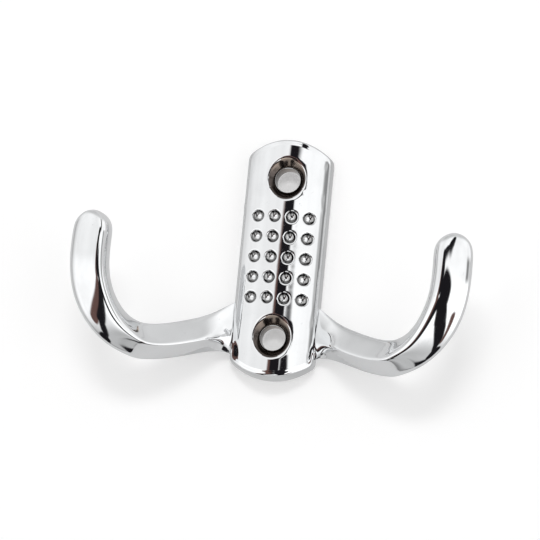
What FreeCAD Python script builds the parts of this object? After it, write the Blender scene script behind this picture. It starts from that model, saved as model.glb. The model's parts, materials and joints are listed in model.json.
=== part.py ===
"""Double robe hook, a one-piece zinc die-casting with a chrome finish.

Frame: millimetres, +Z up, +X to the right, -Y out from the wall towards the room.
The back rim lies on the wall plane Y = 0, and the origin is midway between the two screw holes.
"""

import FreeCAD
import Part
import math
import os

# Backplate: a crowned bar with arched ends and drafted side walls
PLATE_WIDTH = 17.2          # across the back rim
PLATE_LENGTH = 48.6         # between the tops of the two end arches, at the back rim
PLATE_THICKNESS = 5.0       # wall plane to the top of the crown
END_RADIUS = 12.5           # arch at each end, seen from the front
CORNER_RADIUS = 1.4         # where an arch meets a straight side
CROWN_RADIUS = 15.3         # curve of the front face across the width
WALL_DRAFT = 4.0            # degrees, so that the casting leaves its die
EDGE_RADIUS = 0.5           # rounding between the crown and the walls

# Screw holes for countersunk wood screws
HOLE_SPACING = 32.0
HOLE_DIAMETER = 4.8
SINK_DIAMETER = 8.3         # of the cone at the level of the crown's top
SINK_ANGLE = 90.0           # degrees, included
SINK_EDGE_RADIUS = 0.35     # rounding between the cone and the crown

# Grid of round dimples between the holes
DIMPLE_COLUMNS = 4
DIMPLE_ROWS = 5
DIMPLE_PITCH_X = 3.42       # seen from the front
DIMPLE_PITCH_Z = 4.12
DIMPLE_DIAMETER = 2.5
DIMPLE_DEPTH = 0.8

# Cored back: a shallow pocket inside a rim, with a boss round each screw hole
RIM_WIDTH = 2.1
POCKET_DEPTH = 1.7
BOSS_DIAMETER = 8.6

# Middle line of a hook arm: a J in an upright plane that swings out from the wall.
# Reaches are along that plane from the plate's side wall, rises are from the root's middle.
ARM_SPLAY = 29.5            # degrees between the plane and the wall
ARM_ROOT_Y = -1.5           # depth of the root's middle
ARM_ROOT_Z = -14.1          # height of the root's middle
ARM_SINK = 1.2              # how far the arm starts inside the side wall
RUN_REACH = 13.0            # end of the sloping run
RUN_RISE = -5.1
ELBOW_REACH = 22.9          # corner that the elbow rounds off
ELBOW_RISE = -6.6
FINGER_REACH = 32.0         # foot of the finger
FINGER_RISE = 3.6
TIP_REACH = 30.9            # middle of the round tip
TIP_RISE = 14.9

# Section of a hook arm: a rounded square bar turned on its middle line, so that one corner runs
# low along the front as a ridge. It flares into the plate at its root, and turns and widens
# into the flat-faced finger.
BAR_TURN = 63.0             # degrees; at 45 the ridge would be level with the middle line
FINGER_TURN = 45.0
BAR_HALF_SIDE = 2.75
BAR_CORNER_RADIUS = 0.9
ROOT_HALF_HEIGHT = 6.2
ROOT_HALF_THICKNESS = 1.0
FLARE_LENGTH = 10.0
FINGER_HALF_WIDTH = 3.75
FINGER_HALF_THICKNESS = 2.5
FINGER_CORNER_RADIUS = 1.8
WIDENING_START = 20.0       # along the middle line from the root
WIDENING_END = 36.0
TIP_LENGTH = 3.7            # of the rounded end beyond the tip's middle

CORNER_FACETS = 2           # flats that stand for each rounded corner of the section
BAR_SECTIONS = 10
TIP_ANGLES = (62.0, 36.0, 12.0)   # degrees off the tip's axis, where it gets a section
CLEAR = 3.0                 # how far cutting solids run past what they cut

SIDEWAYS = FreeCAD.Vector(1, 0, 0)
UP = FreeCAD.Vector(0, 0, 1)
INTO_WALL = FreeCAD.Vector(0, 1, 0)


def plate_outline(inset, depth):
    """The plate's outline moved in by inset, on the plane at that depth from the wall."""
    half_width = PLATE_WIDTH / 2 - inset
    half_length = PLATE_LENGTH / 2 - inset
    radius = END_RADIUS - inset
    side_z = half_length - radius + math.sqrt(radius**2 - half_width**2)

    def at(x, z):
        return FreeCAD.Vector(x, -depth, z)

    edges = [
        Part.LineSegment(at(half_width, -side_z), at(half_width, side_z)),
        Part.Arc(at(half_width, side_z), at(0, half_length), at(-half_width, side_z)),
        Part.LineSegment(at(-half_width, side_z), at(-half_width, -side_z)),
        Part.Arc(at(-half_width, -side_z), at(0, -half_length), at(half_width, -side_z)),
    ]
    return Part.Wire([edge.toShape() for edge in edges])


def wall_inset(depth):
    """How far the drafted walls have come in at that depth from the wall plane."""
    return depth * math.tan(math.radians(WALL_DRAFT))


def crown_depth(x):
    """Distance of the crowned face from the wall plane at that place across the plate."""
    return PLATE_THICKNESS - CROWN_RADIUS + math.sqrt(CROWN_RADIUS**2 - x**2)


def drafted_bar(height, inset, corner_radius):
    """A solid on the plate's outline, drafted towards the front, with rounded corners."""
    outlines = [plate_outline(inset, 0), plate_outline(inset + wall_inset(height), height)]
    bar = Part.makeLoft(outlines, True, True)
    corners = [edge for edge in bar.Edges if edge.BoundBox.YLength > height / 2]
    return bar.makeFillet(corner_radius, corners)


def crown_solid():
    """Everything behind the crowned face: an arc across the plate, drawn out along it."""
    half = PLATE_WIDTH / 2 + CLEAR
    low = -PLATE_LENGTH / 2 - CLEAR
    left = FreeCAD.Vector(-half, -crown_depth(half), low)
    right = FreeCAD.Vector(half, -crown_depth(half), low)
    arc = Part.Arc(left, FreeCAD.Vector(0, -PLATE_THICKNESS, low), right)
    behind = INTO_WALL * (crown_depth(half) + CLEAR)
    sides = Part.makePolygon([right, right + behind, left + behind, left])
    profile = Part.Face(Part.Wire([arc.toShape()] + sides.Edges))
    return profile.extrude(UP * (PLATE_LENGTH + 2 * CLEAR))


def crown_edges(shape):
    """The edges round the crowned front face."""
    faces = [face for face in shape.Faces if isinstance(face.Surface, Part.Cylinder)]
    crown = max(faces, key=lambda face: face.Area)
    return crown.Edges


def blank_plate():
    """The plate before its holes and dimples, with its front edge rounded."""
    plate = drafted_bar(PLATE_THICKNESS + CLEAR, 0, CORNER_RADIUS).common(crown_solid())
    return plate.makeFillet(EDGE_RADIUS, crown_edges(plate))


def hole_heights():
    return (-HOLE_SPACING / 2, HOLE_SPACING / 2)


def screw_hole_cutter(z):
    """A bore right through, with a cone that opens out past the front."""
    slope = math.tan(math.radians(SINK_ANGLE / 2))
    cone_depth = (SINK_DIAMETER - HOLE_DIAMETER) / 2 / slope
    front = FreeCAD.Vector(0, -PLATE_THICKNESS - CLEAR, z)
    bore = Part.makeCylinder(HOLE_DIAMETER / 2, PLATE_THICKNESS + 2 * CLEAR, front, INTO_WALL)
    mouth_radius = SINK_DIAMETER / 2 + CLEAR * slope
    cone = Part.makeCone(mouth_radius, HOLE_DIAMETER / 2, CLEAR + cone_depth, front, INTO_WALL)
    return bore.fuse(cone)


def sink_edges(shape):
    """The curve round each countersink, where its cone meets the crowned face."""
    reach = SINK_DIAMETER / 2 + CLEAR / 2
    found = []
    for z in hole_heights():
        for edge in crown_edges(shape):
            box = edge.BoundBox
            inside = abs(box.Center.x) < reach / 2 and abs(box.Center.z - z) < reach / 2
            if inside and box.XLength < 2 * reach and box.XLength > HOLE_DIAMETER:
                found.append(edge)
    return found


def dimple_cutters():
    """A ball for each dimple, sunk into the crowned face along that face's own normal."""
    ball_radius = (DIMPLE_DIAMETER**2 / 4 + DIMPLE_DEPTH**2) / (2 * DIMPLE_DEPTH)
    balls = []
    for column in range(DIMPLE_COLUMNS):
        x = (column - (DIMPLE_COLUMNS - 1) / 2) * DIMPLE_PITCH_X
        y = -crown_depth(x)
        outward = FreeCAD.Vector(x, y + PLATE_THICKNESS - CROWN_RADIUS, 0)
        outward.normalize()
        for row in range(DIMPLE_ROWS):
            z = (row - (DIMPLE_ROWS - 1) / 2) * DIMPLE_PITCH_Z
            centre = FreeCAD.Vector(x, y, z) + outward * (ball_radius - DIMPLE_DEPTH)
            balls.append(Part.makeSphere(ball_radius, centre))
    return balls


def pocket_cutter():
    """The hollow of the cored back, with a boss left standing round each screw hole."""
    pocket = drafted_bar(POCKET_DEPTH, RIM_WIDTH, CORNER_RADIUS)
    for z in hole_heights():
        foot = FreeCAD.Vector(0, CLEAR, z)
        boss = Part.makeCylinder(BOSS_DIAMETER / 2, POCKET_DEPTH + 2 * CLEAR, foot, -INTO_WALL)
        pocket = pocket.cut(boss)
    return pocket


def backplate():
    plate = blank_plate()
    plate = plate.cut([screw_hole_cutter(z) for z in hole_heights()])
    plate = plate.makeFillet(SINK_EDGE_RADIUS, sink_edges(plate))
    plate = plate.cut(dimple_cutters())
    return plate.cut(pocket_cutter())


def arm_line():
    """The J-shaped middle line of the right arm, from inside the plate to the tip's middle."""
    splay = math.radians(ARM_SPLAY)
    wall_x = PLATE_WIDTH / 2 - wall_inset(-ARM_ROOT_Y)

    def pole(reach, rise):
        return FreeCAD.Vector(
            wall_x + reach * math.cos(splay),
            ARM_ROOT_Y - reach * math.sin(splay),
            ARM_ROOT_Z + rise,
        )

    run_slope = RUN_RISE / RUN_REACH
    straight = RUN_REACH / 3
    below_tip = TIP_LENGTH / 3
    line = Part.BSplineCurve()
    line.buildFromPoles([
        pole(0, 0) - SIDEWAYS * ARM_SINK,
        pole(straight, straight * run_slope),
        pole(RUN_REACH, RUN_RISE),
        pole(ELBOW_REACH, ELBOW_RISE),
        pole(FINGER_REACH, FINGER_RISE),
        pole(TIP_REACH, TIP_RISE - below_tip),
        pole(TIP_REACH, TIP_RISE),
    ])
    return line


def ease(value):
    """A smooth step from 0 to 1."""
    value = min(max(value, 0.0), 1.0)
    return value * value * (3 - 2 * value)


def rounded_rectangle(half_width, half_thickness, radius):
    """Corner points, all round, of a rectangle whose round corners are drawn with flats."""
    points = []
    for quarter in range(4):
        side_x = 1 if quarter in (0, 3) else -1
        side_y = 1 if quarter in (0, 1) else -1
        for step in range(CORNER_FACETS + 1):
            angle = math.radians(90) * (quarter + step / CORNER_FACETS)
            points.append((
                side_x * (half_width - radius) + radius * math.cos(angle),
                side_y * (half_thickness - radius) + radius * math.sin(angle),
            ))
    return points


def section(centre, along, distance, shrink):
    """The closed outline of the arm at that distance along its middle line."""
    flare = max(0.0, 1 - distance / FLARE_LENGTH) ** 3
    facing = SIDEWAYS * flare + along * (1 - flare)
    facing.normalize()
    splay = math.radians(ARM_SPLAY)
    inner = FreeCAD.Vector(-math.sin(splay), -math.cos(splay), 0).cross(facing)
    inner.normalize()
    front = facing.cross(inner)

    widening = ease((distance - WIDENING_START) / (WIDENING_END - WIDENING_START))
    outline = rounded_rectangle(
        BAR_HALF_SIDE + (FINGER_HALF_WIDTH - BAR_HALF_SIDE) * widening,
        BAR_HALF_SIDE + (FINGER_HALF_THICKNESS - BAR_HALF_SIDE) * widening,
        BAR_CORNER_RADIUS + (FINGER_CORNER_RADIUS - BAR_CORNER_RADIUS) * widening,
    )
    corner_reach = math.sqrt(2) * (BAR_HALF_SIDE - BAR_CORNER_RADIUS) + BAR_CORNER_RADIUS
    stretch_inner = 1 + (ROOT_HALF_HEIGHT / corner_reach - 1) * flare
    thinning = 1 - ease(distance / FLARE_LENGTH)
    stretch_front = 1 + (ROOT_HALF_THICKNESS / corner_reach - 1) * thinning

    turn = math.radians(BAR_TURN + (FINGER_TURN - BAR_TURN) * widening)
    points = []
    for wide, thick in outline:
        to_inner = (wide * math.cos(turn) - thick * math.sin(turn)) * stretch_inner
        to_front = (wide * math.sin(turn) + thick * math.cos(turn)) * stretch_front
        points.append(centre + (inner * to_inner + front * to_front) * shrink)
    return Part.makePolygon(points + points[:1])


def right_arm():
    line = arm_line()
    length = line.length()
    outlines = []
    for step in range(BAR_SECTIONS):
        distance = length * step / (BAR_SECTIONS - 1)
        place = line.parameterAtDistance(distance)
        along = FreeCAD.Vector(*line.tangent(place)[0])
        outlines.append(section(line.value(place), along, distance, 1.0))
    end, along = line.EndPoint, FreeCAD.Vector(*line.tangent(line.LastParameter)[0])
    for degrees in TIP_ANGLES:
        angle = math.radians(degrees)
        centre = end + along * (TIP_LENGTH * math.cos(angle))
        outlines.append(section(centre, along, length, math.sin(angle)))
    return Part.makeLoft(outlines, True)


def double_hook():
    right = right_arm()
    left = right.mirror(FreeCAD.Vector(0, 0, 0), FreeCAD.Vector(1, 0, 0))
    return backplate().fuse([right, left]).removeSplitter()


def build():
    os.makedirs("parts", exist_ok=True)
    hook = double_hook()
    hook.exportStep("parts/double_hook.step")
    box = hook.BoundBox
    print("valid", hook.isValid(), "solids", len(hook.Solids), "volume", round(hook.Volume, 1))
    print("box", [round(value, 2) for value in (box.XMin, box.YMin, box.ZMin, box.XMax, box.YMax, box.ZMax)])


build()
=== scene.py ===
"""Looks of the double robe hook: one chromed casting, modelled as a cage and subdivided."""

import bmesh
import bpy
import json
import math
from bpy.props import FloatProperty, FloatVectorProperty, PointerProperty
from mathutils import Matrix, Vector


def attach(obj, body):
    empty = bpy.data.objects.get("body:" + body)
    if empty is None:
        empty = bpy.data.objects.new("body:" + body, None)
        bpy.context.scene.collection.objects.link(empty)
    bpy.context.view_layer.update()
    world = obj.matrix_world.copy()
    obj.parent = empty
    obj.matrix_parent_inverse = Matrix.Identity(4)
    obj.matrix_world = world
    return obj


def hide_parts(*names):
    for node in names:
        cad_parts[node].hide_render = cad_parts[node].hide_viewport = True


bl_info = {
    "name": "Double Robe Hook",
    "version": (1, 0, 0),
    "blender": (4, 5, 0),
    "location": "3D View > Sidebar > Robe Hook",
    "description": "Models a chromed double robe hook around its packed frame, with its stage",
    "category": "Mesh",
}

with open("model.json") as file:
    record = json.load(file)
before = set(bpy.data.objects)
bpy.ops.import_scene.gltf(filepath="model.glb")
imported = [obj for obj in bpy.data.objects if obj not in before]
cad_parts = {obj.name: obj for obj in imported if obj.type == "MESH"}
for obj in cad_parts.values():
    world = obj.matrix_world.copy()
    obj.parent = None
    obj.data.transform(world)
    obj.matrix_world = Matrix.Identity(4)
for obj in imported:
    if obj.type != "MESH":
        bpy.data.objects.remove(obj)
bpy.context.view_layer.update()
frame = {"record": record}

MM = 0.001
NODE = "double_hook"
BODY = "root"
CHROME_COLOUR = frame["record"]["materials"][0]["base_color"]

# How the cage is divided, and how far its corners are drawn in
ARCH_SHARES = (0.0, 0.31, 0.60, 0.87)    # across half the plate, along an end arch
CORNER_GAP = 1.3 * MM                    # from the plate's corner to the next cage line
SIDE_HEIGHTS = (16.0 * MM, 13.15 * MM)   # cage lines beside a screw hole
BESIDE_HOLE = 5.7 * MM                   # cage line between a screw hole and the plate's edge
DIMPLE_RINGS = ((1.56, 0.0), (1.44, 0.02), (1.27, 0.16), (0.98, 0.50), (0.60, 0.77))   # radius, depth; mm
DIMPLE_FLOOR = 0.86 * MM
DIMPLE_REACH = 1.5 * MM                  # the crown is whole beyond this, round a dimple
DIMPLE_FADE = 0.15 * MM                  # and comes back over this
LIP_ZONE = 0.3 * MM                      # strip round a countersink that the lip's rounding takes up
HOLE_STEPS = 12                          # points along a half ring round a screw hole
HOLE_TURN = 180 / HOLE_STEPS
RING_KEPT = (2 + math.cos(math.radians(HOLE_TURN))) / 3   # of a ring's radius, when it is smoothed
FOOT = slice(7, None, -1)                # stations of the outline, inwards round the foot
SIDE = slice(8, 19)                      # up along the dimples
HEAD = slice(19, None)                   # inwards round the head
BESIDE_STATIONS = (5, 6, 7, 19, 20, 21)  # beside the screw holes
RING_STEP = 2.5 * MM                     # between the arm's rings
TWIST_RINGS = 5                          # closer rings where the bar turns into the finger
TIP_RINGS = ((66.0, 0.98), (43.0, 0.92), (22.0, 0.76))   # degrees off its axis, share of thickness
TIP_CROWN = 1.03                         # height of the tip's middle, as a share of its length
FINGER_ROUNDS = (2.6 * MM, 1.9 * MM)     # where the finger's corners start to round, across and through
RIDGE_PULLS = (0.35 * MM, 0.35 * MM)     # how far the corner that carries the ridge is drawn in
CORNER_PULLS = (0.2 * MM, 0.3 * MM)      # the same for the other corners
TIP_PULLS = (0.8 * MM, 0.5 * MM)         # and further for all of them towards the tip
BACK_LINE = 0.5 * MM                     # cage line on the wall, near the back rim
EDGE_ZONE = 1.25 * MM                    # strip along the outline that the edge's rounding takes up
FRONT_LEVEL = -2.0 * MM                  # the front face lies further out than this
BACK_CREASE = 0.85                       # sharpness of the edges at the back
MERGE_GAP = 0.01 * MM
SMOOTH_LEVELS = 2
SHARP_ANGLE = math.radians(50)           # edges that turn more than this stay sharp

# Where the finishes change, and with them the shade painted into the dimples and screw holes
DIMPLE_WALL = (0.36 * MM, 0.50 * MM)     # from a dimple's axis, where its bright floor gives way to the painted grey shade of its wall
DIMPLE_RIM = (0.82 * MM, 0.96 * MM)      # and where that gives way to the darker painted shade of its rim
DIMPLE_EDGE = 1.15 * MM                  # and where the dimple's finish and its painted shade end
RECESS_FADE = (0.8 * MM, 3.6 * MM)       # above a screw hole's axis, where its wall's painted shade gives way to a lighter painted reflection
BORE_RIM = 0.16 * MM                     # ring round the bore left out of the countersinks' painted shade, so it stays bright chrome
NEAR = 0.05 * MM

# The photo's camera, and the stage
CAMERA_PLACE = Vector((87.45, -570.2, -114.0)) * MM
CAMERA_RIGHT = Vector((0.9860, 0.1366, 0.0951))
CAMERA_UP = Vector((-0.0662, -0.2027, 0.9770))
CAMERA_BACK = Vector((0.1527, -0.9697, -0.1908))
CAMERA_LENS = 196.8
PAPER_SIZE = 4.0
PAPER_PLACE = 0.3 * MM                   # behind the back rim
PAPER_TONE = (0.70, 0.70, 0.70, 1.0)
PAPER_LIFT = 0.35                        # emission for the camera alone, which makes the paper white
PAPER_GAP = 8.0 * MM                     # the metal mirrors paper that is further off than this
PAPER_LEVEL = 0.54                       # grey that the metal mirrors where it doesn't see the paper
LAMP_PLACE = Vector((0.0, -0.75, 0.43))
LAMP_SIZE = (0.3, 0.16)
LAMP_POWER = 1.8
DARK_COLOUR = (0.012, 0.011, 0.013, 1.0)
BROWN_COLOUR = (0.14, 0.08, 0.07, 1.0)
WHITE = (1.0, 1.0, 1.0, 1.0)

# The dark stand in front of the tent: strips between two directions, each (bearing, height)
# in degrees from straight out of the plate, with half its width
DARK_STRIPS = (
    ((-0.5, 5.0), (-0.5, 10.5), 7.0),
    ((3.0, 15.0), (16.0, 18.5), 3.0),
    ((17.0, 20.0), (21.0, 40.0), 5.5),
    ((13.0, 0.5), (12.0, -7.0), 10.5),
    ((3.0, -9.0), (-31.0, -41.0), 6.0),
    ((-31.0, -41.0), (-38.0, -58.0), 4.5),
    ((13.0, -10.0), (17.0, -24.0), 8.5),
    ((17.0, -24.0), (28.0, -50.0), 8.0),
    ((-88.0, -64.0), (-46.0, -62.0), 8.0),
    ((34.0, -62.0), (80.0, -63.0), 10.0),
)
DARK_SOFT = 1.2                          # degrees over which a strip's edge fades
BROWN_STRIPS = (
    ((-7.0, 9.0), (-10.0, 0.0), 4.0),
    ((-6.0, -5.0), (-42.0, -40.0), 6.0),
    ((36.0, -22.0), (38.0, -44.0), 5.0),
)
BROWN_SOFT = 1.5


def length(name, default_mm, description):
    """A length that a user may change."""
    return FloatProperty(
        name=name, description=description, default=default_mm * MM, unit="LENGTH", precision=5,
    )


def angle(name, default_degrees, description):
    """An angle that a user may change."""
    return FloatProperty(
        name=name, description=description, default=math.radians(default_degrees), subtype="ANGLE",
    )


def colour(name, default, description):
    """A colour that a user may change."""
    return FloatVectorProperty(
        name=name, description=description, default=default, subtype="COLOR", size=3, min=0.0, max=1.0,
    )


def factor(name, default, description):
    """A share, from nothing to one, that a user may change."""
    return FloatProperty(
        name=name, description=description, default=default, subtype="FACTOR", min=0.0, max=1.0,
    )


class RobeHookPlate(bpy.types.PropertyGroup):
    """Sizes of the backplate"""

    width: length("Width", 17.2, "Across the back rim")
    length: length("Length", 48.6, "Between the tops of the two end arches")
    thickness: length("Thickness", 5.0, "From the wall plane to the top of the crown")
    end_radius: length("End Radius", 12.5, "Arch at each end, seen from the front")
    crown_radius: length("Crown Radius", 15.3, "Curve of the front face across the width")
    draft: angle("Draft", 4.0, "Lean of the side walls")
    edge_break: length("Edge Break", 0.3, "Width of the chamfer that becomes the round front edge")
    rim_width: length("Rim Width", 2.1, "Flat rim round the cored back")
    pocket_depth: length("Pocket Depth", 1.7, "Depth of the cored back")


class RobeHookHoles(bpy.types.PropertyGroup):
    """Sizes of the screw holes"""

    spacing: length("Spacing", 32.0, "Between the two screw holes")
    bore: length("Bore", 4.8, "Diameter of the bore")
    sink: length("Countersink", 8.3, "Diameter of the cone at the level of the crown's top")
    boss: length("Boss", 8.6, "Diameter of the boss round each hole, at the back")
    lip: length("Lip", 0.20, "Width of the chamfer that becomes the countersink's round lip")


class RobeHookDimples(bpy.types.PropertyGroup):
    """Sizes of the dimple grid"""

    pitch_x: length("Pitch Across", 3.42, "Between columns of dimples")
    pitch_z: length("Pitch Along", 4.12, "Between rows of dimples")


class RobeHookArms(bpy.types.PropertyGroup):
    """Sizes of the hook arms"""

    splay: angle("Splay", 29.5, "Between the arm's upright plane and the wall")
    root_y: length("Root Depth", -1.25, "Place of the root's middle, out from the wall")
    root_z: length("Root Height", -14.1, "Height of the root's middle")
    sink: length("Root Sink", 1.2, "How far the middle line starts inside the side wall")
    run_reach: length("Run Reach", 13.0, "End of the sloping run, along the arm's plane")
    run_rise: length("Run Rise", -5.1, "Height of the run's end above the root")
    elbow_reach: length("Elbow Reach", 22.9, "Corner that the elbow rounds off")
    elbow_rise: length("Elbow Rise", -6.6, "Height of that corner above the root")
    finger_reach: length("Finger Reach", 32.0, "Foot of the finger")
    finger_rise: length("Finger Rise", 3.6, "Height of the finger's foot above the root")
    tip_reach: length("Tip Reach", 30.9, "Middle of the round tip")
    tip_rise: length("Tip Rise", 14.9, "Height of the tip's middle above the root")
    tip_length: length("Tip Length", 3.7, "Rounded end beyond the tip's middle")
    bar_turn: angle("Bar Turn", 63.0, "Turn of the square bar; more sets its ridge lower")
    finger_turn: angle("Finger Turn", 45.0, "Turn of the finger's section")
    twist_place: length("Twist Place", 20.8, "Along the middle line, where the finger's face starts")
    twist_length: length("Twist Length", 2.8, "Length over which the underside turns into that face")
    gentle_length: length("Gentle Length", 16.0, "Length over which the upper side turns along with it")
    bar_half: length("Bar Half Side", 2.75, "Half the side of the square bar")
    bar_round: length("Bar Rounding", 1.5, "Where the rounding of the bar's corners starts")
    ridge_round: length("Ridge Rounding", 0.7, "Where the rounding of the bar's front ridge starts")
    root_ridge_round: length("Root Ridge Rounding", 3.4, "The same where the ridge meets the plate")
    root_half_height: length("Root Half Height", 6.2, "Flare of the root up and down")
    root_half_thickness: length("Root Half Thickness", 0.75, "Flare of the root front to back")
    flare: length("Flare Length", 10.0, "Length of the flare at the root")
    finger_half_width: length("Finger Half Width", 3.76, "Half the finger's broad face")
    finger_half_thickness: length("Finger Half Thickness", 2.5, "Half the finger's thickness")
    widening_start: length("Widening Start", 20.0, "Where the bar starts to widen, along the line")
    widening_end: length("Widening End", 36.0, "Where the finger is full width, along the line")


class RobeHookFinish(bpy.types.PropertyGroup):
    """Finish of the chrome, with the shade painted into its dimples and screw holes"""

    chrome: colour("Chrome", CHROME_COLOUR, "Colour of the plating")
    shine: factor("Front Roughness", 0.035, "Roughness of the polished front")
    # Painted shade: the screw holes are darkened in colour, with a painted tan reflection towards their
    # tops, not thinner plating
    recess: colour("Countersinks", (0.10, 0.085, 0.078), "Thin plating in the screw holes")
    recess_top_painted_reflection: colour("Countersink Tops", (0.40, 0.33, 0.28), "The same near the top of each hole")
    recess_shine: factor("Hole Roughness", 0.14, "Roughness of the plating in the screw holes")
    # Painted shade: the dimples' walls are greyed and their rims darkened in colour, not by thinner
    # plating
    dimple: colour("Dimple Walls", (0.46, 0.46, 0.46), "Thin plating on the dimples' walls")
    dimple_rim_painted_shade: colour("Dimple Rims", (0.16, 0.16, 0.16), "Plating just inside the dimples' lips")
    dimple_shine: factor("Dimple Roughness", 0.07, "Roughness of the plating in the dimples")
    back: colour("Back", (0.62, 0.62, 0.62), "Plating on the cored back")
    back_shine: factor("Back Roughness", 0.32, "Roughness of the unpolished back")


class RobeHookSettings(bpy.types.PropertyGroup):
    """Everything a user would change"""

    plate: PointerProperty(type=RobeHookPlate)
    holes: PointerProperty(type=RobeHookHoles)
    dimples: PointerProperty(type=RobeHookDimples)
    arms: PointerProperty(type=RobeHookArms)
    finish: PointerProperty(type=RobeHookFinish)


def settings():
    """The sizes and finishes, as the user has set them."""
    return bpy.context.scene.robe_hook


def ease(value):
    """A smooth step from nothing to one."""
    value = min(max(value, 0.0), 1.0)
    return value * value * (3 - 2 * value)


def crown_y(x):
    """Depth of the crowned front face at that place across the plate."""
    plate = settings().plate
    return plate.crown_radius - plate.thickness - math.sqrt(plate.crown_radius**2 - x**2)


def on_crown(x, z, sunk=0.0):
    """A point on the crowned face, or sunk into it along the face's normal."""
    lean = math.asin(x / settings().plate.crown_radius)
    return Vector((x - sunk * math.sin(lean), crown_y(x) + sunk * math.cos(lean), z))


def outline(inset):
    """Stations up the right half of the plate's outline moved in by inset, from foot to head."""
    plate = settings().plate
    half_width = plate.width / 2 - inset
    radius = plate.end_radius - inset
    arch_centre = plate.length / 2 - plate.end_radius
    pitch = settings().dimples.pitch_z / 2

    def arch_z(x):
        return arch_centre + math.sqrt(radius**2 - x**2)

    upper = [(half_width, step * pitch) for step in range(6)]
    upper += [(half_width, z) for z in reversed(SIDE_HEIGHTS)]
    upper.append((half_width, arch_z(half_width) - CORNER_GAP))
    upper.append((half_width, arch_z(half_width)))
    upper += [(share * half_width, arch_z(share * half_width)) for share in reversed(ARCH_SHARES)]
    lower = [(x, -z) for x, z in reversed(upper[1:])]
    return lower + upper


def wall_inset(depth):
    """How far the leaning wall has come in, that far out from the wall plane."""
    return depth * math.tan(settings().plate.draft)


def cage():
    """The mesh that is being edited."""
    return bmesh.from_edit_mesh(bpy.context.edit_object.data)


def chosen():
    """The selected vertices."""
    return [vertex for vertex in cage().verts if vertex.select]


def show_change():
    """Writes what was moved or selected back to the mesh."""
    bmesh.update_edit_mesh(bpy.context.edit_object.data)


def nearest(vertices, point):
    """The vertex nearest to a point."""
    return min(vertices, key=lambda vertex: (vertex.co - point).length_squared)


def choose_line(points):
    """Selects the cage's edges that run along the points."""
    bpy.ops.mesh.select_all(action="DESELECT")
    mesh = cage()
    vertices = [nearest(mesh.verts, point) for point in points]
    for first, second in zip(vertices, vertices[1:]):
        mesh.edges.get((first, second)).select_set(True)
    show_change()


def move_chosen(start, end):
    """Moves each selected vertex from its place in start to the same place in end."""
    for vertex in chosen():
        index = min(range(len(start)), key=lambda k: (start[k] - vertex.co).length_squared)
        vertex.co = end[index]
    show_change()


def grow_line(start, end):
    """Extrudes the edges along start, and moves the new line to end."""
    choose_line(start)
    bpy.ops.mesh.extrude_region_move()
    move_chosen(start, end)
    return end


def crease_line(points):
    """Keeps the edges along the points sharp when the cage is smoothed."""
    choose_line(points)
    bpy.ops.transform.edge_crease(value=BACK_CREASE)


def add_dimple_field():
    """One dimpled cell, modelled once and repeated over the right half of the grid."""
    dimples = settings().dimples
    bpy.ops.object.select_all(action="DESELECT")
    bpy.ops.mesh.primitive_plane_add(size=1.0, rotation=(math.radians(90), 0, 0))
    field = bpy.context.object
    field.name = "double_robe_hook"
    field.data.name = "double_robe_hook"
    field.scale = (dimples.pitch_x, dimples.pitch_z, 1)
    bpy.ops.object.transform_apply(location=True, rotation=True, scale=True)
    bpy.ops.object.mode_set(mode="EDIT")
    bpy.ops.mesh.select_mode(type="FACE")
    bpy.ops.mesh.select_all(action="SELECT")
    bpy.ops.mesh.subdivide(number_cuts=1)
    for radius, depth in DIMPLE_RINGS:
        bpy.ops.mesh.inset(thickness=0.1 * MM, use_even_offset=True)
        for vertex in chosen():
            if vertex.co.xz.length < NEAR:
                vertex.co.y = DIMPLE_FLOOR
                continue
            turn = round(math.atan2(vertex.co.z, vertex.co.x) / math.radians(45)) * math.radians(45)
            vertex.co = Vector((math.cos(turn) * radius, depth, math.sin(turn) * radius)) * MM
        show_change()
    bpy.ops.mesh.select_all(action="SELECT")
    first = Vector((dimples.pitch_x / 2, 0, -2 * dimples.pitch_z))
    bpy.ops.transform.translate(value=first)
    bpy.ops.object.mode_set(mode="OBJECT")
    for name, count, offset in (
        ("columns", 2, (dimples.pitch_x, 0, 0)),
        ("rows", 5, (0, 0, dimples.pitch_z)),
    ):
        array = field.modifiers.new(name, "ARRAY")
        array.count = count
        array.use_relative_offset = False
        array.use_constant_offset = True
        array.constant_offset_displace = offset
        array.use_merge_vertices = True
        array.merge_threshold = MERGE_GAP
        bpy.ops.object.modifier_apply(modifier=name)
    bpy.ops.object.mode_set(mode="EDIT")
    bpy.ops.mesh.select_mode(type="EDGE")
    for vertex in cage().verts:
        vertex.co = on_crown(vertex.co.x, vertex.co.z, vertex.co.y)
    show_change()
    return field


def half_ring(radius, hole_z, place):
    """Points of a half circle round a screw hole, from its inner side to the plate's end."""
    ends = 1 if hole_z > 0 else -1
    points = []
    for step in range(HOLE_STEPS + 1):
        turn = math.radians(-90 + HOLE_TURN * step)
        reach = radius(turn) / RING_KEPT
        x = reach * math.cos(turn) if 0 < step < HOLE_STEPS else 0.0
        points.append(Vector((x, place(x, reach), hole_z + ends * reach * math.sin(turn))))
    return points


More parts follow.
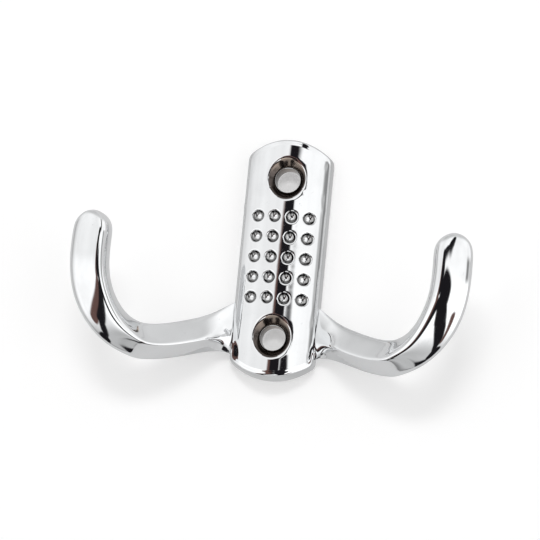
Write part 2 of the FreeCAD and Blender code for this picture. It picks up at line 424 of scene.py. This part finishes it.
def add_screw_hole(hole_z, inner_line):
    """The sheet round one screw hole, its countersink and bore, and the boss at the back."""
    holes, plate, dimples = settings().holes, settings().plate, settings().dimples
    ends = 1 if hole_z > 0 else -1
    row = 5 * dimples.pitch_z / 2 * ends
    block = [on_crown(column * dimples.pitch_x / 2, row) for column in range(5)]
    beside = inner_line[HEAD] if hole_z > 0 else inner_line[FOOT]
    for point in beside:
        bpy.ops.mesh.select_mode(type="VERT")
        bpy.ops.mesh.select_all(action="DESELECT")
        nearest(cage().verts, block[-1]).select_set(True)
        cage().select_flush_mode()
        show_change()
        bpy.ops.mesh.extrude_region_move()
        move_chosen([block[-1]], [point])
        block.append(point)
    bpy.ops.mesh.select_mode(type="EDGE")

    bore = holes.bore / 2
    sink = holes.sink / 2
    cone_end = -plate.thickness + sink - bore

    def lip_radius(turn):
        bow = math.cos(turn)**2 / (2 * plate.crown_radius)
        return sink if bow < 1e-6 else (math.sqrt(1 + 4 * bow * sink) - 1) / (2 * bow)

    def on_cone(x, r):
        return sink - plate.thickness - r * RING_KEPT

    rings = [
        half_ring(lambda turn: lip_radius(turn) + 4 * holes.lip, hole_z, lambda x, r: crown_y(x)),
        half_ring(lambda turn: lip_radius(turn) + holes.lip, hole_z, lambda x, r: crown_y(x)),
        half_ring(lambda turn: lip_radius(turn) - holes.lip, hole_z, on_cone),
        half_ring(lambda turn: (lip_radius(turn) + bore) / 2, hole_z, on_cone),
        half_ring(lambda turn: bore + holes.lip, hole_z, on_cone),
        half_ring(lambda turn: bore, hole_z, lambda x, r: cone_end + holes.lip),
        half_ring(lambda turn: bore, hole_z, lambda x, r: 0.0),
        half_ring(lambda turn: holes.boss / 2, hole_z, lambda x, r: 0.0),
        half_ring(lambda turn: holes.boss / 2, hole_z, lambda x, r: -plate.pocket_depth),
    ]
    line = block
    for ring in rings:
        line = grow_line(line, ring)
    for ring in rings[-3:]:
        crease_line(ring)
    return line


def add_edge_and_back(inner_line, boss_feet):
    """The round front edge, the drafted walls, the back rim and the cored pocket."""
    plate = settings().plate
    half_width = plate.width / 2

    def at(inset, place):
        return [Vector((x, place(x), z)) for x, z in outline(inset)]

    front_inset = wall_inset(-crown_y(half_width))
    edge = plate.edge_break
    lines = [
        at(front_inset + 3 * edge, crown_y),
        at(front_inset + edge, crown_y),
        at(front_inset, lambda x: crown_y(x) + edge),
        at(wall_inset(BACK_LINE), lambda x: -BACK_LINE),
        at(0.0, lambda x: 0.0),
        at(plate.rim_width, lambda x: 0.0),
        at(plate.rim_width + wall_inset(plate.pocket_depth), lambda x: -plate.pocket_depth),
    ]
    line = inner_line
    for next_line in lines:
        line = grow_line(line, next_line)
    for sharp in lines[-3:]:
        crease_line(sharp)

    floor = lines[-1]
    side = floor[SIDE]
    rows = {0: [side[0]], -1: [side[-1]]}
    for column in (3, 2, 1, 0):
        x = side[0].x * column / (column + 1)
        side = grow_line(side, [Vector((x, point.y, point.z)) for point in side])
        for end in rows:
            rows[end].append(side[end])
    grow_line(list(reversed(rows[0])) + floor[FOOT], boss_feet[0])
    grow_line(list(reversed(rows[-1])) + floor[HEAD], boss_feet[1])


def arm_points():
    """Places and directions along the right arm's middle line, closer where the bar turns."""
    arms, plate = settings().arms, settings().plate
    wall_x = plate.width / 2 - wall_inset(-arms.root_y)

    def pole(reach, rise):
        return Vector((
            wall_x + reach * math.cos(arms.splay),
            arms.root_y - reach * math.sin(arms.splay),
            arms.root_z + rise,
        ))

    straight = arms.run_reach / 3
    poles = [
        pole(0, 0) - Vector((arms.sink, 0, 0)),
        pole(straight, straight * arms.run_rise / arms.run_reach),
        pole(arms.run_reach, arms.run_rise),
        pole(arms.elbow_reach, arms.elbow_rise),
        pole(arms.finger_reach, arms.finger_rise),
        pole(arms.tip_reach, arms.tip_rise - arms.tip_length / 3),
        pole(arms.tip_reach, arms.tip_rise),
    ]
    curve = bpy.data.curves.new("arm_line", "CURVE")
    curve.dimensions = "3D"
    spline = curve.splines.new("NURBS")
    spline.points.add(len(poles) - 1)
    for point, pole_place in zip(spline.points, poles):
        point.co = (*pole_place, 1.0)
    spline.order_u = 4
    spline.use_endpoint_u = True
    spline.resolution_u = 60
    line = bpy.data.objects.new("arm_line", curve)
    bpy.context.scene.collection.objects.link(line)
    bpy.context.view_layer.update()
    drawn = bpy.data.meshes.new_from_object(line.evaluated_get(bpy.context.evaluated_depsgraph_get()))
    places = [vertex.co.copy() for vertex in drawn.vertices]
    bpy.data.objects.remove(line)
    bpy.data.curves.remove(curve)
    bpy.data.meshes.remove(drawn)

    travelled = [0.0]
    for first, second in zip(places, places[1:]):
        travelled.append(travelled[-1] + (second - first).length)
    count = round(travelled[-1] / RING_STEP)
    even = [travelled[-1] * step / count for step in range(count + 1)]
    shares = [step / (TWIST_RINGS - 1) - 0.5 for step in range(TWIST_RINGS)]
    twist = [arms.twist_place + arms.twist_length * share for share in shares]
    clear = arms.twist_length / 2 + RING_STEP / 3
    kept = [stop for stop in even if abs(stop - arms.twist_place) > clear]
    stops = []
    for distance in sorted(kept + twist):
        index = min(range(len(places)), key=lambda k: abs(travelled[k] - distance))
        before, after = places[max(index - 1, 0)], places[min(index + 1, len(places) - 1)]
        stops.append((travelled[index], places[index], (after - before).normalized()))
    return stops


def arm_ring(centre, along, distance, narrowing=1.0, thinned=1.0):
    """Twelve points round the arm: three each for its top, front, bottom and back corners."""
    arms = settings().arms
    flare = max(0.0, 1 - distance / arms.flare) ** 3
    facing = (Vector((flare, 0, 0)) + along * (1 - flare)).normalized()
    inner = Vector((-math.sin(arms.splay), -math.cos(arms.splay), 0)).cross(facing).normalized()
    front = facing.cross(inner)

    widening = ease((distance - arms.widening_start) / (arms.widening_end - arms.widening_start))

    def between(bar, finger):
        return bar + (finger - bar) * widening

    wide = between(arms.bar_half, arms.finger_half_width)
    thick = between(arms.bar_half, arms.finger_half_thickness)
    corner_reach = math.sqrt(2) * (arms.bar_half - arms.bar_round / 6)
    stretch_inner = 1 + (arms.root_half_height / corner_reach - 1) * flare
    thinning = 1 - ease(distance / arms.flare)
    stretch_front = 1 + (arms.root_half_thickness / corner_reach - 1) * thinning
    twist = ease((distance - arms.twist_place) / arms.twist_length + 0.5)
    gentle = ease((distance - arms.twist_place) / arms.gentle_length + 0.3)
    edge_soft = ease((distance - arms.twist_place) / (0.5 * arms.gentle_length) + 0.1)
    ridge = arms.ridge_round + (arms.root_ridge_round - arms.ridge_round) * thinning

    corners = []
    for side_wide, side_thick in ((1, -1), (1, 1), (-1, 1), (-1, -1)):
        at_ridge = side_wide == 1 and side_thick == 1
        softened = edge_soft if at_ridge else widening
        bar_round = ridge if at_ridge else arms.bar_round
        round_wide, round_thick = [bar_round + (size - bar_round) * softened for size in FINGER_ROUNDS]
        pulls = RIDGE_PULLS if at_ridge else CORNER_PULLS
        pull_wide, pull_thick = [
            pull * softened + tip_pull * (1 - narrowing) for pull, tip_pull in zip(pulls, TIP_PULLS)
        ]
        across = (side_wide * (wide - round_wide), side_thick * thick)
        tip = (side_wide * (wide - pull_wide), side_thick * (thick - pull_thick))
        along_side = (side_wide * wide, side_thick * (thick - round_thick))
        triple = [across, tip, along_side]
        if side_wide == side_thick:
            triple.reverse()
        turned = twist if (side_wide, side_thick) == (-1, 1) else gentle
        turn = arms.bar_turn + (arms.finger_turn - arms.bar_turn) * turned
        corners += [(to_wide, to_thick, turn) for to_wide, to_thick in triple]
    points = []
    for to_wide, to_thick, turn in corners:
        to_wide *= narrowing
        to_thick *= thinned
        up = (to_wide * math.cos(turn) - to_thick * math.sin(turn)) * stretch_inner
        out = (to_wide * math.sin(turn) + to_thick * math.cos(turn)) * stretch_front
        points.append(centre + inner * up + front * out)
    return points


def with_cap(ring, centre):
    """A ring with the four points inside it, that together are a patch of nine faces."""
    return ring + [centre + (ring[k] - centre) / 3 for k in (2, 5, 8, 11)]


def add_arms():
    """The right arm, extruded ring by ring from a patch inside the plate."""
    bpy.ops.object.mode_set(mode="OBJECT")
    bpy.ops.object.select_all(action="DESELECT")
    bpy.ops.mesh.primitive_grid_add(x_subdivisions=3, y_subdivisions=3, size=6 * MM)
    arms = bpy.context.object
    bpy.ops.object.mode_set(mode="EDIT")
    bpy.ops.mesh.select_mode(type="FACE")
    bpy.ops.mesh.select_all(action="SELECT")
    rim = [
        (-1, -3), (-3, -3), (-3, -1), (-3, 1), (-3, 3), (-1, 3),
        (1, 3), (3, 3), (3, 1), (3, -1), (3, -3), (1, -3),
    ]
    inside = [(-1, -1), (-1, 1), (1, 1), (1, -1)]
    patch = [Vector((x, y, 0)) * MM for x, y in rim + inside]

    stops = arm_points()
    rings = [(arm_ring(place, along, distance), place) for distance, place, along in stops]
    distance, end, along = stops[-1]
    for degrees, thinned in TIP_RINGS:
        slope = math.radians(degrees)
        centre = end + along * (settings().arms.tip_length * math.cos(slope))
        rings.append((arm_ring(centre, along, distance, math.sin(slope), thinned), centre))
    for number, (ring, centre) in enumerate(rings):
        if number > 0:
            bpy.ops.mesh.extrude_region_move()
        places = with_cap(ring, centre)
        move_chosen(patch, places)
        patch = places
    top = end + along * (settings().arms.tip_length * TIP_CROWN)
    ring, centre = rings[-1]
    crown = [point + (top - centre) for point in with_cap(ring, centre)[12:]]
    move_chosen(patch, patch[:12] + crown)
    return arms


def mirror_and_smooth(half):
    """Mirrors a half, subdivides it and turns its faces outwards."""
    bpy.ops.object.mode_set(mode="EDIT")
    bpy.ops.mesh.select_mode(type="VERT")
    bpy.ops.mesh.select_all(action="SELECT")
    bpy.ops.mesh.remove_doubles(threshold=MERGE_GAP)
    bpy.ops.object.mode_set(mode="OBJECT")
    mirror = half.modifiers.new("mirror", "MIRROR")
    mirror.use_axis = (True, False, False)
    mirror.merge_threshold = MERGE_GAP
    bpy.ops.object.modifier_apply(modifier="mirror")
    smooth = half.modifiers.new("smooth", "SUBSURF")
    smooth.levels = SMOOTH_LEVELS
    smooth.render_levels = SMOOTH_LEVELS
    bpy.ops.object.modifier_apply(modifier="smooth")
    bpy.ops.object.mode_set(mode="EDIT")
    bpy.ops.mesh.select_all(action="SELECT")
    bpy.ops.mesh.normals_make_consistent(inside=False)
    bpy.ops.object.mode_set(mode="OBJECT")


def hole_distance(place):
    """How far a place is from the axis of the nearer screw hole."""
    return Vector((place.x, abs(place.z) - settings().holes.spacing / 2)).length


def dimple_distance(place):
    """How far a place on the front face is from the axis of the nearest dimple."""
    plate, dimples = settings().plate, settings().dimples
    spoke = Vector((place.x, place.y - plate.crown_radius + plate.thickness))
    across = abs(place.x) / spoke.length * plate.crown_radius
    column = 0.5 if across < dimples.pitch_x else 1.5
    row = min(max(round(place.z / dimples.pitch_z), -2), 2)
    return Vector((across - column * dimples.pitch_x, place.z - row * dimples.pitch_z)).length


def true_up_crown():
    """Lays the open parts of the front face exactly on the crown, so that reflections run true."""
    plate, holes = settings().plate, settings().holes
    bpy.ops.object.mode_set(mode="EDIT")
    for vertex in cage().verts:
        x, y, z = vertex.co
        if abs(x) > plate.width / 2 - EDGE_ZONE or y > FRONT_LEVEL:
            continue
        end = plate.length / 2 - plate.end_radius + math.sqrt((plate.end_radius - EDGE_ZONE)**2 - x**2)
        if abs(z) > end or hole_distance(vertex.co) < holes.sink / 2 + LIP_ZONE:
            continue
        whole = ease((dimple_distance(vertex.co) - DIMPLE_REACH) / DIMPLE_FADE + 1)
        vertex.co.y += (crown_y(x) - y) * whole
    show_change()
    bpy.ops.object.mode_set(mode="OBJECT")


def unite(casting, arms):
    """Joins the arms to the plate as one closed surface, with a crisp line round their roots."""
    bpy.ops.object.select_all(action="DESELECT")
    casting.select_set(True)
    bpy.context.view_layer.objects.active = casting
    union = casting.modifiers.new("union", "BOOLEAN")
    union.operation = "UNION"
    union.solver = "EXACT"
    union.object = arms
    bpy.ops.object.modifier_apply(modifier="union")
    bpy.data.meshes.remove(arms.data)
    bpy.ops.object.shade_smooth_by_angle(angle=SHARP_ANGLE)


class NodeBoard:
    """Adds nodes to a tree and links them, so that a material reads as a list of steps."""

    def __init__(self, tree):
        self.tree = tree

    def add(self, kind, **values):
        node = self.tree.nodes.new(kind)
        for name, value in values.items():
            setattr(node, name, value)
        return node

    def feed(self, node, socket, source):
        if isinstance(source, bpy.types.NodeSocket):
            self.tree.links.new(source, node.inputs[socket])
        else:
            node.inputs[socket].default_value = source

    def math(self, operation, *sources):
        node = self.add("ShaderNodeMath", operation=operation)
        for index, source in enumerate(sources):
            self.feed(node, index, source)
        return node.outputs[0]

    def ramp(self, value, low, high, to_low, to_high, smooth=True):
        node = self.add("ShaderNodeMapRange", interpolation_type="SMOOTHSTEP" if smooth else "LINEAR")
        for index, source in enumerate((value, low, high, to_low, to_high)):
            self.feed(node, index, source)
        return node.outputs[0]

    def vector(self, operation, *sources):
        node = self.add("ShaderNodeVectorMath", operation=operation)
        for index, source in enumerate(sources):
            self.feed(node, index, source)
        return node

    def noise(self, place, scale, detail):
        node = self.add("ShaderNodeTexNoise")
        self.feed(node, "Vector", place)
        self.feed(node, "Scale", scale)
        self.feed(node, "Detail", detail)
        return node.outputs["Fac"]

    def mix(self, share, first, second):
        node = self.add("ShaderNodeMix", data_type="RGBA")
        self.feed(node, 0, share)
        self.feed(node, 6, first)
        self.feed(node, 7, second)
        return node.outputs[2]

    def grey(self, level):
        node = self.add("ShaderNodeCombineColor")
        for index in range(3):
            self.feed(node, index, level)
        return node.outputs[0]


def plating_group():
    """Haze, specks and the faint ripple of a plated casting, for every chrome on the hook."""
    group = bpy.data.node_groups.new("plating", "ShaderNodeTree")
    for name, kind in (
        ("Clean", "NodeSocketColor"), ("Haze", "NodeSocketFloat"),
        ("Low Roughness", "NodeSocketFloat"), ("High Roughness", "NodeSocketFloat"),
    ):
        group.interface.new_socket(name, in_out="INPUT", socket_type=kind)
    for name, kind in (
        ("Colour", "NodeSocketColor"), ("Roughness", "NodeSocketFloat"), ("Ripple", "NodeSocketFloat"),
    ):
        group.interface.new_socket(name, in_out="OUTPUT", socket_type=kind)
    board = NodeBoard(group)
    given = board.add("NodeGroupInput")
    result = board.add("NodeGroupOutput")
    place = board.add("ShaderNodeTexCoord").outputs["Object"]
    haze = board.ramp(board.noise(place, 140.0, 3.0), 0.42, 0.78, 0.0, 1.0)
    specks = board.ramp(board.noise(place, 1600.0, 2.0), 0.66, 0.76, 0.0, 1.0)
    dull = board.math("MAXIMUM", haze, specks)
    hazed = board.vector("SCALE", given.outputs["Clean"])
    board.feed(hazed, "Scale", given.outputs["Haze"])
    board.feed(result, "Colour", board.mix(dull, given.outputs["Clean"], hazed.outputs["Vector"]))
    roughness = board.ramp(
        dull, 0.0, 1.0, given.outputs["Low Roughness"], given.outputs["High Roughness"], smooth=False,
    )
    board.feed(result, "Roughness", roughness)
    board.feed(result, "Ripple", board.noise(place, 420.0, 1.0))
    return group


def split_place(board):
    """The three Object coordinates."""
    place = board.add("ShaderNodeSeparateXYZ")
    board.feed(place, 0, board.add("ShaderNodeTexCoord").outputs["Object"])
    return place.outputs


def painted_dimple_shading(board):
    """Painted shade in a dimple, by the distance from its axis: bright floor, grey painted shade on the
    wall, dark painted shade at the rim.
    """
    plate, dimples, finish = settings().plate, settings().dimples, settings().finish
    x, y, z = split_place(board)
    inward = board.math("SUBTRACT", y, plate.crown_radius - plate.thickness)
    lean = board.math("ARCTAN2", x, board.math("MULTIPLY", inward, -1.0))
    across = board.math("MULTIPLY", board.math("SINE", lean), plate.crown_radius)
    half_pitch = dimples.pitch_x / 2
    off_x = board.math("SUBTRACT", half_pitch, board.math("PINGPONG", across, half_pitch))
    off_z = board.math("PINGPONG", z, dimples.pitch_z / 2)
    offset = board.add("ShaderNodeCombineXYZ")
    board.feed(offset, 0, off_x)
    board.feed(offset, 2, off_z)
    reach = board.vector("LENGTH", offset.outputs[0]).outputs["Value"]
    wall = board.ramp(reach, *DIMPLE_WALL, 0.0, 1.0)
    rim = board.ramp(reach, *DIMPLE_RIM, 0.0, 1.0)
    inside = board.mix(wall, (*finish.chrome, 1.0), (*finish.dimple, 1.0))
    return board.mix(rim, inside, (*finish.dimple_rim_painted_shade, 1.0))


def painted_recess_shading(board):
    """Painted shade on a screw hole's wall: near black, with a painted tan reflection towards the top."""
    holes, finish = settings().holes, settings().finish
    wrapped = board.math("WRAP", split_place(board)[2], holes.spacing, 0.0)
    height = board.math("SUBTRACT", wrapped, holes.spacing / 2)
    top = board.ramp(height, *RECESS_FADE, 0.0, 1.0)
    return board.mix(top, (*finish.recess, 1.0), (*finish.recess_top_painted_reflection, 1.0))


def plated_material(name, group, tint, haze, low, high, ripple):
    """A metal with the plating group's haze in its colour and roughness, and its ripple as bump."""
    metal = bpy.data.materials.new(name)
    metal.use_nodes = True
    board = NodeBoard(metal.node_tree)
    shader = metal.node_tree.nodes["Principled BSDF"]
    shader.inputs["Metallic"].default_value = 1.0
    plating = board.add("ShaderNodeGroup", node_tree=group)
    board.feed(plating, "Clean", tint(board) if callable(tint) else (*tint, 1.0))
    board.feed(plating, "Haze", haze)
    board.feed(plating, "Low Roughness", low)
    board.feed(plating, "High Roughness", high)
    board.feed(shader, "Base Color", plating.outputs["Colour"])
    board.feed(shader, "Roughness", plating.outputs["Roughness"])
    bump = board.add("ShaderNodeBump")
    board.feed(bump, "Strength", 1.0)
    board.feed(bump, "Distance", ripple)
    board.feed(bump, "Height", plating.outputs["Ripple"])
    board.feed(shader, "Normal", bump.outputs["Normal"])
    return metal


def in_countersink(face):
    """Whether a face lies on the cone or the bore of a screw hole."""
    place = face.calc_center_median()
    holes = settings().holes
    if hole_distance(place) > holes.sink / 2 + holes.lip:
        return False
    on_rim = hole_distance(place) < holes.bore / 2 + BORE_RIM and -face.normal.y > 0.2
    steep = abs(face.normal.y) < 0.93
    sunk = place.y - crown_y(place.x) > 0.04 * MM
    return sunk and steep and not on_rim


def in_dimple(face):
    """Whether a face lies in a dimple."""
    place = face.calc_center_median()
    return place.y < FRONT_LEVEL and dimple_distance(place) < DIMPLE_EDGE


def on_back(face):
    """Whether a face lies on the rim, a boss or in the cored pocket."""
    place = face.calc_center_median()
    plate = settings().plate
    if place.y < -plate.pocket_depth - NEAR:
        return False
    flat = face.normal.y > 0.9 and abs(place.x) < plate.width / 2
    in_width = abs(place.x) < plate.width / 2 - plate.rim_width + NEAR
    in_length = abs(place.z) < plate.length / 2 - plate.rim_width
    return flat or (in_width and in_length)


def add_finish(casting):
    """Bright chrome all over; rougher where the polishing wheel doesn't reach, with painted shade in the
    colour of the dimples and countersinks; satin at the back.
    """
    finish = settings().finish
    group = plating_group()
    for name, tint, haze, low, spread, ripple in (
        ("polished_chrome", finish.chrome, 0.93, finish.shine, 0.05, 0.0025 * MM),
        ("countersink_chrome_painted_shade", painted_recess_shading, 0.8, finish.recess_shine, 0.12, 0.01 * MM),
        ("dimple_chrome_painted_shade", painted_dimple_shading, 0.9, finish.dimple_shine, 0.08, 0.004 * MM),
        ("satin_back", finish.back, 0.85, finish.back_shine, 0.15, 0.03 * MM),
    ):
        metal = plated_material(name, group, tint, haze, low, low + spread, ripple)
        casting.data.materials.append(metal)
    bpy.ops.object.mode_set(mode="EDIT")
    bpy.ops.mesh.select_mode(type="FACE")
    for index, belongs in ((3, on_back), (2, in_dimple), (1, in_countersink)):
        bpy.ops.mesh.select_all(action="DESELECT")
        for face in cage().faces:
            face.select_set(belongs(face))
        show_change()
        casting.active_material_index = index
        bpy.ops.object.material_slot_assign()
    bpy.ops.object.mode_set(mode="OBJECT")


class ROBEHOOK_OT_casting(bpy.types.Operator):
    """Model the casting: dimpled crown, screw holes, edge, cored back and both hook arms"""

    bl_idname = "robehook.casting"
    bl_label = "Casting"

    def execute(self, context):
        casting = add_dimple_field()
        dimples = settings().dimples
        plate = settings().plate
        inner_line = [on_crown(x, z) for x, z in outline(plate.width / 2 - 2 * dimples.pitch_x)]
        for station in BESIDE_STATIONS:
            inner_line[station] = on_crown(BESIDE_HOLE, inner_line[station].z)
        half_spacing = settings().holes.spacing / 2
        boss_feet = [add_screw_hole(z, inner_line) for z in (-half_spacing, half_spacing)]
        add_edge_and_back(inner_line, boss_feet)
        mirror_and_smooth(casting)
        true_up_crown()
        arms = add_arms()
        mirror_and_smooth(arms)
        unite(casting, arms)
        add_finish(casting)
        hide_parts(NODE)
        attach(casting, BODY)
        return {"FINISHED"}


def strips_mask(board, place, strips, soft):
    """How much of a direction lies in any of the strips."""
    mask = 0.0
    for start, end, half_width in strips:
        start = Vector((*start, 0.0))
        run = Vector((*end, 0.0)) - start
        offset = board.vector("SUBTRACT", place, start).outputs["Vector"]
        along = board.vector("DOT_PRODUCT", offset, run / run.length_squared).outputs["Value"]
        foot = board.vector("SCALE", run)
        board.feed(foot, "Scale", board.ramp(along, 0.0, 1.0, 0.0, 1.0, smooth=False))
        gap = board.vector("DISTANCE", offset, foot.outputs["Vector"]).outputs["Value"]
        inside = board.ramp(gap, half_width - soft, half_width + soft, 1.0, 0.0)
        mask = board.math("MAXIMUM", mask, inside)
    return mask


def studio_world():
    """A white tent, greyer to the sides and below, with a dark stand in front of the hook."""
    world = bpy.data.worlds.new("studio")
    world.use_nodes = True
    board = NodeBoard(world.node_tree)
    background = world.node_tree.nodes["Background"]
    direction_place = board.add("ShaderNodeTexCoord").outputs["Generated"]
    direction = board.add("ShaderNodeSeparateXYZ")
    board.feed(direction, 0, direction_place)
    x, y, z = direction.outputs
    bearing = board.math("DEGREES", board.math("ARCTAN2", x, board.math("MULTIPLY", y, -1.0)))
    height = board.math("DEGREES", board.math("ARCSINE", z))
    place = board.add("ShaderNodeCombineXYZ")
    board.feed(place, 0, bearing)
    board.feed(place, 1, height)
    place = place.outputs[0]

    front = board.ramp(bearing, -25.0, 20.0, 1.0, 1.12)
    left = board.ramp(bearing, -88.0, -58.0, 0.56, 0.0)
    left = board.math("MULTIPLY", left, board.ramp(height, 20.0, 36.0, 1.0, 0.0))
    right = board.ramp(bearing, 46.0, 54.0, 0.0, 0.75)
    right = board.math("MULTIPLY", right, board.ramp(bearing, 62.0, 72.0, 1.0, 0.5))
    right = board.math("MULTIPLY", right, board.ramp(height, 13.5, 16.5, 1.0, 0.0))
    right = board.math("MULTIPLY", right, board.ramp(height, 3.0, 8.0, 0.0, 1.0))
    sides = board.math("SUBTRACT", 1.0, board.math("MAXIMUM", left, right))
    above = board.ramp(height, 32.0, 58.0, 1.0, 0.62)
    below = board.ramp(height, -60.0, -28.0, 0.45, 1.0)
    lit = board.ramp(height, 1.0, 9.0, 1.22, 1.0)
    folds = board.ramp(board.noise(direction_place, 2.6, 2.0), 0.3, 0.7, 0.92, 1.05)
    level = front
    for share in (sides, below, above, lit, folds):
        level = board.math("MULTIPLY", level, share)
    brown = strips_mask(board, place, BROWN_STRIPS, BROWN_SOFT)
    browned = board.mix(brown, board.grey(level), BROWN_COLOUR)
    ground = board.ramp(height, -73.0, -68.0, 1.0, 0.0)
    ground = board.math("MULTIPLY", ground, board.ramp(bearing, -28.0, -18.0, 0.0, 1.0))
    dark = board.math("MAXIMUM", strips_mask(board, place, DARK_STRIPS, DARK_SOFT), ground)
    darkened = board.mix(dark, browned, DARK_COLOUR)
    behind = board.ramp(board.math("ABSOLUTE", bearing), 84.0, 96.0, 0.0, 1.0)
    backdrop = board.grey(board.math("MULTIPLY", folds, PAPER_LEVEL))
    around = board.mix(behind, darkened, backdrop)
    seen = board.add("ShaderNodeLightPath").outputs["Is Camera Ray"]
    board.feed(background, "Color", board.mix(seen, around, WHITE))
    return world


def paper_material():
    """White paper with the hook's shadow on it, which isn't there in views from behind."""
    paper = bpy.data.materials.new("white_paper")
    paper.use_nodes = True
    board = NodeBoard(paper.node_tree)
    shader = paper.node_tree.nodes["Principled BSDF"]
    output = paper.node_tree.nodes["Material Output"]
    shader.inputs["Base Color"].default_value = PAPER_TONE
    shader.inputs["Roughness"].default_value = 0.9
    shader.inputs["Specular IOR Level"].default_value = 0.0
    shader.inputs["Emission Color"].default_value = WHITE
    path = board.add("ShaderNodeLightPath").outputs
    camera = path["Is Camera Ray"]
    board.feed(shader, "Emission Strength", board.math("MULTIPLY", camera, PAPER_LIFT))
    mirrored = board.math("MAXIMUM", path["Is Glossy Ray"], path["Is Transmission Ray"])
    far_off = board.math("GREATER_THAN", path["Ray Length"], PAPER_GAP)
    mirrored = board.math("MULTIPLY", mirrored, far_off)
    seen = board.math("MAXIMUM", camera, mirrored)
    behind = board.add("ShaderNodeNewGeometry").outputs["Backfacing"]
    mixer = board.add("ShaderNodeMixShader")
    board.feed(mixer, 0, board.math("MULTIPLY", seen, board.math("SUBTRACT", 1.0, behind)))
    board.feed(mixer, 1, board.add("ShaderNodeBsdfTransparent").outputs[0])
    board.feed(mixer, 2, shader.outputs[0])
    board.feed(output, "Surface", mixer.outputs[0])
    return paper


class ROBEHOOK_OT_stage(bpy.types.Operator):
    """Set up the white backdrop, the soft light and the camera"""

    bl_idname = "robehook.stage"
    bl_label = "Stage"

    def execute(self, context):
        scene = context.scene
        scene.view_settings.view_transform = "Standard"
        data = bpy.data.cameras.new("photo_camera")
        data.lens = CAMERA_LENS
        data.sensor_width = 36.0
        data.clip_start = 0.01
        data.clip_end = 10.0
        camera = bpy.data.objects.new("photo_camera", data)
        scene.collection.objects.link(camera)
        axes = Matrix((CAMERA_RIGHT, CAMERA_UP, CAMERA_BACK)).transposed()
        camera.matrix_world = Matrix.Translation(CAMERA_PLACE) @ axes.to_4x4()
        scene.camera = camera

        bpy.ops.object.select_all(action="DESELECT")
        bpy.ops.mesh.primitive_plane_add(
            size=PAPER_SIZE, location=(0, PAPER_PLACE, 0), rotation=(math.radians(90), 0, 0),
        )
        backdrop = context.object
        backdrop.name = "backdrop"
        bpy.ops.object.transform_apply(location=True, rotation=True, scale=True)
        backdrop.data.materials.append(paper_material())

        lamp = bpy.data.lights.new("softbox", "AREA")
        lamp.shape = "RECTANGLE"
        lamp.size, lamp.size_y = LAMP_SIZE
        lamp.energy = LAMP_POWER
        softbox = bpy.data.objects.new("softbox", lamp)
        scene.collection.objects.link(softbox)
        softbox.visible_glossy = False
        facing = LAMP_PLACE.to_track_quat("Z", "Y").to_matrix().to_4x4()
        softbox.matrix_world = Matrix.Translation(LAMP_PLACE) @ facing

        scene.world = studio_world()
        return {"FINISHED"}


class ROBEHOOK_PT_panel(bpy.types.Panel):
    """Lists the steps that make the hook"""

    bl_idname = "ROBEHOOK_PT_panel"
    bl_label = "Robe Hook"
    bl_space_type = "VIEW_3D"
    bl_region_type = "UI"
    bl_category = "Robe Hook"

    def draw(self, context):
        for operator in OPERATORS:
            self.layout.operator(operator.bl_idname)


OPERATORS = (ROBEHOOK_OT_casting, ROBEHOOK_OT_stage)
CLASSES = (
    RobeHookPlate,
    RobeHookHoles,
    RobeHookDimples,
    RobeHookArms,
    RobeHookFinish,
    RobeHookSettings,
    *OPERATORS,
    ROBEHOOK_PT_panel,
)


def register():
    for each in CLASSES:
        bpy.utils.register_class(each)
    bpy.types.Scene.robe_hook = PointerProperty(type=RobeHookSettings)


def unregister():
    del bpy.types.Scene.robe_hook
    for each in reversed(CLASSES):
        bpy.utils.unregister_class(each)


def main():
    register()
    bpy.ops.robehook.casting()
    bpy.ops.robehook.stage()


if __name__ == "__main__":
    main()
